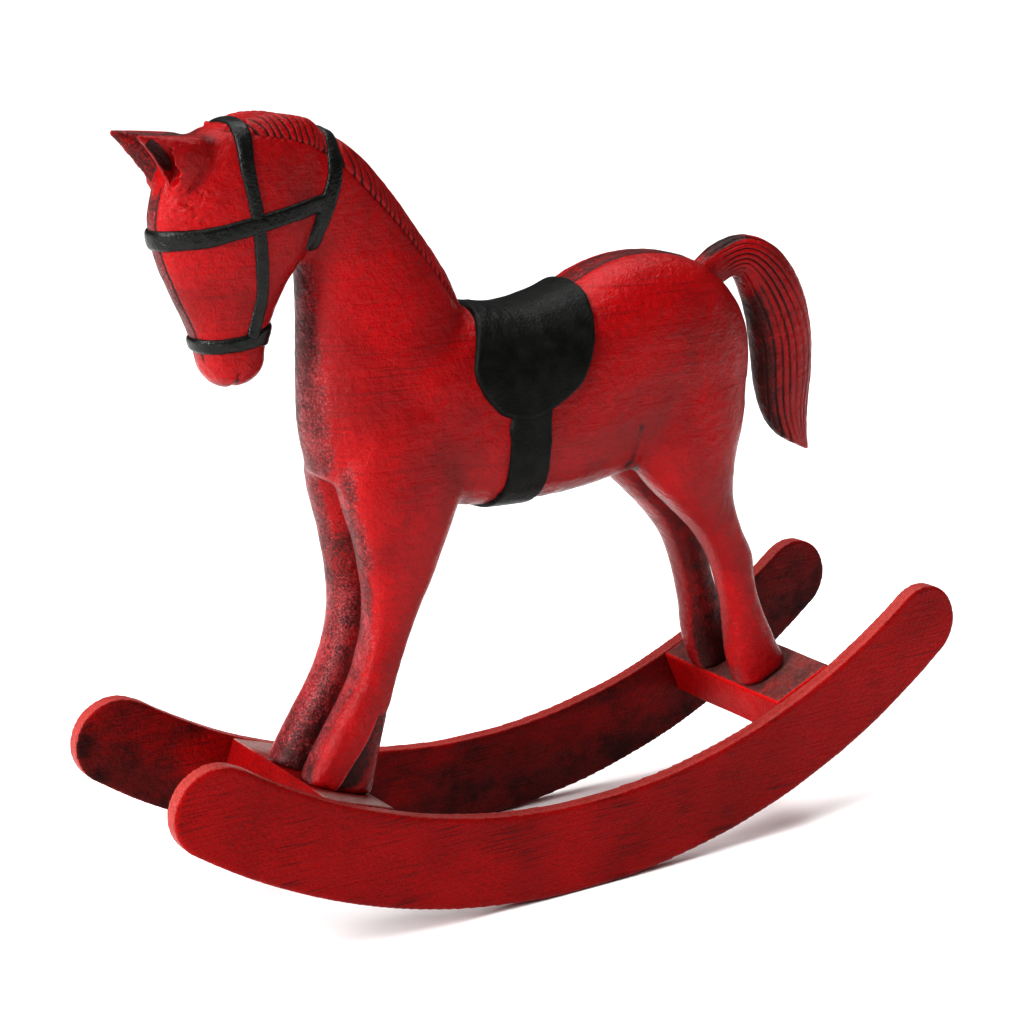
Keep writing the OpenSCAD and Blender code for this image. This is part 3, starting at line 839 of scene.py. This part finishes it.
# the tail's outer and inner edge, root to tip: x and z of the one, then of the other
TAIL = [(60, 192, 67, 181), (69, 198, 74.4, 186), (82, 200.6, 78.8, 186.4), (95.4, 195.4, 82.6, 179.4),
        (105.8, 183.4, 85.8, 170), (111, 169, 87.8, 159.4), (112.4, 154, 89.4, 148.2),
        (111.8, 141, 92.8, 138), (112.2, 131, 99.6, 129.6), (113.8, 122.8, 111, 123.8)]


def tail_frame(x, z):
    """how far across the tail a point is (-1 inner edge, 1 outer edge) and how far along"""
    rows = curve(TAIL, 14)
    middle = (rows[:, :2] + rows[:, 2:]) / 2
    half = (rows[:, :2] - rows[:, 2:]) / 2
    d = (x[:, None] - middle[:, 0]) ** 2 + (z[:, None] - middle[:, 1]) ** 2
    k = np.argmin(d, 1)
    ax, az = x - middle[k, 0], z - middle[k, 1]
    size = np.hypot(half[k, 0], half[k, 1])
    return (ax * half[k, 0] + az * half[k, 1]) / size ** 2, k / (len(rows) - 1)


def tail_mesh():
    mesh = remesh(["tail", "tail_dowel"], 0.6)
    soften(mesh, 18, 0.5)
    refine(mesh, np.ones(len(mesh.vertices), bool))
    co, n = positions(mesh), normals(mesh)
    h = to_horse(co)
    across, run = tail_frame(h[:, 0], h[:, 2])
    flow = across * 4.3 + 0.30 * np.sin(run * 7) + 0.12 * np.sin(run * 19) \
        + 0.20 * wobble(across * 3, run * 12, h[:, 1] * 0.2, 4, 7)
    t = flow - np.floor(flow)
    groove = 1 - step(0, 0.24, np.minimum(t, 1 - t))
    groove *= 0.55 + 0.45 * np.clip(wobble(np.floor(flow) * 9, run * 30, h[:, 1] * 0, 16, 6), -1, 1)
    fade = step(0.05, 0.15, run) * (1 - step(0.86, 0.98, run)) * (1 - step(0.92, 1.05, np.abs(across)))
    groove *= fade
    set_positions(mesh, co + ((-0.70 * groove + 0.08 * wobble(*h.T, 5, 4))[:, None] * n))
    inner = (1 - step(-0.8, -0.1, across)) * step(0.22, 0.4, run) * (1 - 0.5 * step(0.9, 1, run))
    hollow = hollows(mesh)
    facing = step(0.2, 0.6, -turn_in(normals(mesh))[:, 0]) * step(0.25, 0.4, run)
    note(mesh, "wash_and_shade", np.clip(0.60 * np.maximum(inner, 1.15 * facing) + 0.3 * groove
                               + 0.3 * np.clip(hollow, 0, 1) + 0.8 * (1 - step(0.01, 0.06, run))
                               + 0.75 * step(0.72, 0.95, across) * hump(run, 0.16, 0.14), 0, 1))
    back = step(0.62, 0.86, across) * hump(run, 0.13, 0.17)
    note(mesh, "cut", np.clip(0.9 * groove + 0.75 * back, 0, 1))
    # paler ridges between the grooves, a painted highlight, and rubbed paint on the inner side
    note(mesh, "wear_and_sheen", np.clip(0.6 * np.clip(-hollow - 0.2, 0, 1) + 0.25 * inner, 0, 1))
    all_smooth(mesh)
    return mesh


# ------------------------------------------------------------------ saddle and bridle

# how near its outline a pad is refined and how long it then settles; the first round takes it all
FINER = ((99, 3), (1.3, 2), (0.8, 2))
# how deep a pad's floor lies under the skin
PAD_ROOT = 1.5


def thicken(mesh, top, floor):
    """moves the skin to top and closes it below with a copy of itself at floor"""
    bm = bmesh.new()
    bm.from_mesh(mesh)
    layer = bm.verts.layers.float["wear_and_sheen"]
    bm.verts.ensure_lookup_table()
    ring = [e for e in bm.edges if e.is_boundary]
    under = [bm.verts.new(p * MM) for p in floor]
    for w in under:
        w[layer] = 0
    faces = list(bm.faces)
    bm.verts.ensure_lookup_table()
    for f in faces:
        bm.faces.new([under[v.index] for v in reversed(f.verts)])
    for e in ring:
        loop = e.link_loops[0]
        a, b = loop.vert, loop.link_loop_next.vert
        bm.faces.new([b, a, under[a.index], under[b.index]])
    for i, p in enumerate(top):
        bm.verts[i].co = Vector(p * MM)
    loose = [v for v in bm.verts if not v.link_faces]
    bmesh.ops.delete(bm, geom=loose, context="VERTS")
    bm.to_mesh(mesh)
    bm.free()
    all_smooth(mesh)


def skin_patch(base, distance, thick, rim, calm, extra):
    """a thin pad on the horse: distance gives mm outside (above 0) or inside (below 0) its outline"""
    co = positions(base)
    d = distance(to_horse(co))
    bm = bmesh.new()
    bm.from_mesh(base)
    far = [f for f in bm.faces if min(d[v.index] for v in f.verts) > 1.6]
    bmesh.ops.delete(bm, geom=far, context="FACES")
    mesh = bpy.data.meshes.new("patch")
    bm.to_mesh(mesh)
    bm.free()
    co = positions(mesh)
    set_positions(mesh, relax(co, links(mesh), calm, 0.5 * (distance(to_horse(co)) < 0.9)))
    for reach, settle in FINER:
        d = distance(to_horse(positions(mesh)))
        refine(mesh, np.abs(d) < reach, settle)
    co, n = positions(mesh), normals(mesh)
    h = to_horse(co)
    d = distance(h)
    inner = np.clip(-d / rim, 0, 1)
    height = np.where(d < 0, thick * np.sqrt(1 - (1 - inner) ** 2), -0.9 * np.clip(d / 0.5, 0, 1))
    if extra:
        height = height + extra(h) * step(0, 2 * rim, -d)
    note(mesh, "wear_and_sheen", np.clip(hump(-d, rim * 0.9, rim) * 0.55, 0, 1))
    thicken(mesh, co + height[:, None] * n, co - PAD_ROOT * n)
    return mesh


def strap(points, half, ragged, seed, limit):
    """distance to a strap from its middle line in the side view and its half width along it"""
    line = curve(points)

    def distance(h):
        d, arc, _ = along(line, h[:, 0], h[:, 2])
        return np.maximum(d - half(arc) + ragged * wobble(*h.T, 6, seed), limit(h))
    return distance


# outlines in the side view; both run on past the top or the bottom of the horse
SADDLE_LOOP = curve([(-32.5, 216), (-32.5, 203), (-32.6, 191), (-33, 187), (-37, 180), (-39.8, 171),
                     (-37.2, 163.6), (-31, 157.2), (-22, 154.6), (-13, 157), (-3.5, 162), (1.5, 168),
                     (5.2, 176), (7.5, 186), (8.4, 193), (8.8, 204), (8.8, 216)], 8)
GIRTH_LOOP = np.array([(-27.6, 161), (-28.6, 152), (-28.0, 143), (-28.2, 134), (-29.6, 118),
                       (-13.4, 118), (-13.2, 134), (-13.6, 146), (-13.2, 161)])


def in_outline(loop, ragged, seed):
    closed = np.vstack([loop, loop[:1]])

    def distance(h):
        d, _, _ = along(closed, h[:, 0], h[:, 2])
        d = np.where(inside(loop, h[:, 0], h[:, 2]), -d, d)
        return d + ragged * wobble(*h.T, 5, seed)
    return distance


def on_head(h):
    """keeps the bridle off the body"""
    return np.where((h[:, 2] > 178) & (h[:, 0] < -70), -9.0, 9.0)


def off_neck(h):
    """keeps the throat latch off the neck below the jaw"""
    return np.where(h[:, 2] > 204, -9.0, 9.0)


def tack(base, satin, gloss):
    saddle = in_outline(SADDLE_LOOP, 0.14, 11)
    girth_shape = in_outline(GIRTH_LOOP, 0.28, 12)

    def wrinkles(h):
        front = hump(h[:, 0], -28, 14) * step(172, 186, h[:, 2])
        return 0.16 * front * wobble(h[:, 0] * 1.5, h[:, 1], h[:, 2] * 0.7, 4.2, 13) \
            + 0.08 * wobble(*h.T, 8, 14)

    def lumps(h):
        return 0.14 * wobble(*h.T, 4, 15)

    # outline, thickness, width of the rounded rim, rounds of calming, surface and material
    pieces = {
        "saddle": (saddle, 1.35, 1.2, 0, wrinkles, satin),
        "girth": (girth_shape, 1.2, 1.0, 0, None, satin),
        "cheek_strap": (strap(CHEEK_LINE, lambda s: CHEEK_HALF - 0.55 * step(8, 32, s), 0.12, 5,
                              on_head), 0.95, 1.5, 0, lumps, gloss),
        "browband": (strap([(-142, 215.6), (-134.3, 216.6), (-122, 217.8), (-109, 220.4), (-96, 223),
                            (-85.5, 224.6)], lambda s: 2.9 - 0.35 * step(6, 34, s), 0.2, 6,
                           lambda h: np.maximum(on_head(h), h[:, 0] + 84.6)), 1.05, 1.6, 0, lumps, gloss),
        "noseband": (strap([(-130, 185.2), (-124, 185.4), (-114, 185.9), (-104, 187.2), (-98, 187.8)],
                           lambda s: 2.15 + 0.8 * step(21, 27, s), 0.15, 7, on_head),
                     0.95, 1.5, 0, lumps, gloss),
        "throat_latch": (strap(THROAT_LINE, lambda s: THROAT_HALF, 0.12, 8, off_neck),
                         1.0, 1.5, 14, lumps, gloss)}
    for name, (distance, thick, rim, calm, extra, material) in pieces.items():
        mesh = skin_patch(base, distance, thick, rim, calm, extra)
        show(mesh, name + "_pad" if name == "saddle" else name + "_painted", material, name,
             slot="black_tack")


# ------------------------------------------------------------------ rockers and slats

def board(node, voxel, rounds, wave):
    """a sawn board with softened edges and faintly uneven faces"""
    mesh = remesh([node], voxel)
    soften(mesh, rounds, 0.5)
    co, n = positions(mesh), normals(mesh)
    low, high = [np.array(v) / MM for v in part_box(node)]
    co = co + (wave * (wobble(*co.T, 22, 20) - 1) * 0.5)[:, None] * n
    set_positions(mesh, np.clip(co, low, high))
    all_smooth(mesh)
    return mesh


# the rockers' running edge: the x where it touches the floor, and its radius
ROCKER_X, ROCKER_RADIUS = -6.2, 239.0


def rocker(node, side, material):
    mesh = board(node, 0.85, 5, 0.25)
    co, n = positions(mesh), normals(mesh)
    x, _, z = co.T
    edge = 1 - step(0.25, 0.75, np.abs(n[:, 1]))
    ridge = np.clip(-hollows(mesh, 6, 0.25), 0, 1)
    inside_face = step(0.3, 0.7, -side * n[:, 1])
    from_middle = np.abs(x - ROCKER_X)
    depth = ROCKER_RADIUS - np.hypot(x - ROCKER_X, z - ROCKER_RADIUS)
    ends = step(70, 130, from_middle)
    low_edge = 1 - step(3, 19, depth)
    clean = 1 - 0.75 * hump(x, -107, 13) * hump(z, 44, 14) * (side > 0)
    # the inside faces darker: black smudges and painted shade, darker still towards the running edge and at
    # the front ends; lighter where a red smear lies on the far rocker
    stain_and_shade = inside_face * clean * (0.65 + 0.3 * ends * low_edge * (x < 0) + 0.2 * low_edge)
    note(mesh, "wash_and_shade", np.clip(stain_and_shade, 0, 1))
    top_edge = edge * step(0.0, 0.4, n[:, 2])
    tips = edge * step(110, 140, from_middle)
    note(mesh, "wear_and_sheen", np.clip(0.62 * top_edge + 0.6 * tips + 0.30 * ridge, 0, 1))
    note(mesh, "grey", np.zeros(len(x)))
    show(mesh, node + "_board", material, node, slot="red_rockers")


def slat(node, material, grey_far):
    """a cross board, greyed at the ends of its top or dirty all over its top"""
    mesh = board(node, 0.7, 4, 0.2)
    co, n = positions(mesh), normals(mesh)
    top = step(0.6, 0.9, n[:, 2])
    y = co[:, 1]
    ends = np.maximum(step(14, 24, y), step(-20, -28, y))
    dirt, rub, grey = (0.34, 0.30, 0.85 * ends) if grey_far else (0.95, 0.38, 0.16)
    note(mesh, "wash_and_shade", dirt * top)
    note(mesh, "wear_and_sheen", np.clip(rub * top + 0.2 * np.clip(-hollows(mesh, 6, 0.25), 0, 1), 0, 1))
    note(mesh, "grey", grey * top)
    show(mesh, node + "_board", material, node, slot="red_rockers")


# ------------------------------------------------------------------ studio

def studio():
    floor_mesh = bpy.data.meshes.new("floor")
    bm = bmesh.new()
    bmesh.ops.create_grid(bm, x_segments=8, y_segments=8, size=60)
    bm.to_mesh(floor_mesh)
    bm.free()
    floor = bpy.data.objects.new("floor", floor_mesh)
    bpy.context.scene.collection.objects.link(floor)
    p = Paint("pale_floor")
    tone = p.between(p.noise(900, 2), 0.3, 0.7)
    floor_mesh.materials.append(p.finish(p.mix(tone, FLOOR_PALEST, FLOOR_PALE), 0.9))

    world = bpy.data.worlds.new("studio")
    world.use_nodes = True
    back = world.node_tree.nodes["Background"]
    back.inputs["Color"].default_value = (1, 1, 1, 1)
    back.inputs["Strength"].default_value = 0.12
    bpy.context.scene.world = world

    def softbox(name, place, target, size, watts):
        data = bpy.data.lights.new(name, "AREA")
        data.shape = "RECTANGLE"
        data.size, data.size_y = size
        data.energy = watts
        ob = bpy.data.objects.new(name, data)
        bpy.context.scene.collection.objects.link(ob)
        ob.location = place
        ob.rotation_euler = (Vector(target) - Vector(place)).to_track_quat("-Z", "Y").to_euler()
    softbox("front", (-1.95, -0.42, 1.00), (0, 0, 0.14), (0.38, 1.10), 56)
    softbox("side", (-0.75, -0.95, 0.95), (0, 0, 0.13), (0.22, 0.22), 2.6)
    softbox("top", (0.40, 0.30, 1.15), (0, 0, 0.14), (0.45, 0.45), 3.5)
    data = bpy.data.lights.new("ceiling", "SUN")
    data.energy = 3.05
    data.angle = math.radians(75)
    ceiling = bpy.data.objects.new("ceiling", data)
    bpy.context.scene.collection.objects.link(ceiling)
    ceiling.rotation_euler = Vector((-0.25, 0.12, 1)).to_track_quat("Z", "Y").to_euler()


# where the photograph was taken from: degrees round and up, metres away, lens in mm
VIEW_ROUND, VIEW_UP, VIEW_FROM, LENS = -33.252, 14.915, 0.758844, 83.0
# what it looks at: metres ahead of the middle of the object and above the floor
AIM_AHEAD, AIM_HEIGHT = 0.010543, 0.118227


def camera():
    data = bpy.data.cameras.new("camera")
    data.sensor_width = 36
    data.lens = LENS
    data.clip_start, data.clip_end = 0.01, 200
    ob = bpy.data.objects.new("camera", data)
    bpy.context.scene.collection.objects.link(ob)
    x, y = (cad_low.x + cad_high.x) / 2, (cad_low.y + cad_high.y) / 2
    target = Vector((x - AIM_AHEAD, y, cad_low.z + AIM_HEIGHT))
    a, e = math.radians(VIEW_ROUND), math.radians(VIEW_UP)
    back = Vector((math.sin(a) * math.cos(e), -math.cos(a) * math.cos(e), math.sin(e)))
    ob.location = target + back * VIEW_FROM
    ob.rotation_euler = (-back).to_track_quat("-Z", "Y").to_euler()
    bpy.context.scene.camera = ob


camera()
studio()
view = bpy.context.scene.view_settings
view.view_transform = "Standard"
view.exposure = 0.25
view.gamma = 0.82

red = red_paint("red_paint")
tail_red = red_paint("tail_paint", (1.0, 1.0, 0.12), stroke_dark=0.5)
boards = rocker_paint("board_paint", BOARD_RED)
satin = black_paint("satin_black", 0.36, 0.10)
gloss = black_paint("gloss_black", 0.12, 0.24)

base = horse_base()
tack(base, satin, gloss)
carved = carve_horse(base)
for block, mesh in split_blocks(carved).items():
    show(mesh, block + "_carved", red, block, slot="red_horse")
show(tail_mesh(), "tail_carved", tail_red, "tail", slot="red_horse")
rocker("left_rocker", -1, boards)
rocker("right_rocker", 1, boards)
# the front slat in a darker copy of the board paint for painted shade, the rear slat in a brighter copy for
# painted light
slat("front_slat", rocker_paint("front_slat_paint_shaded", FRONT_SLAT_RED_SHADED), True)
slat("rear_slat", rocker_paint("rear_slat_paint_lit", REAR_SLAT_RED_LIT), False)

for node in ("slat_dowels", "leg_dowels", "neck_dowels", "head_dowel", "tail_dowel", "hoof_screws"):
    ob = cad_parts[node]
    ob.data.materials.clear()
    ob.data.materials.append(screw_steel("steel_" + node) if node == "hoof_screws"
                             else bare_wood("wood_" + node))
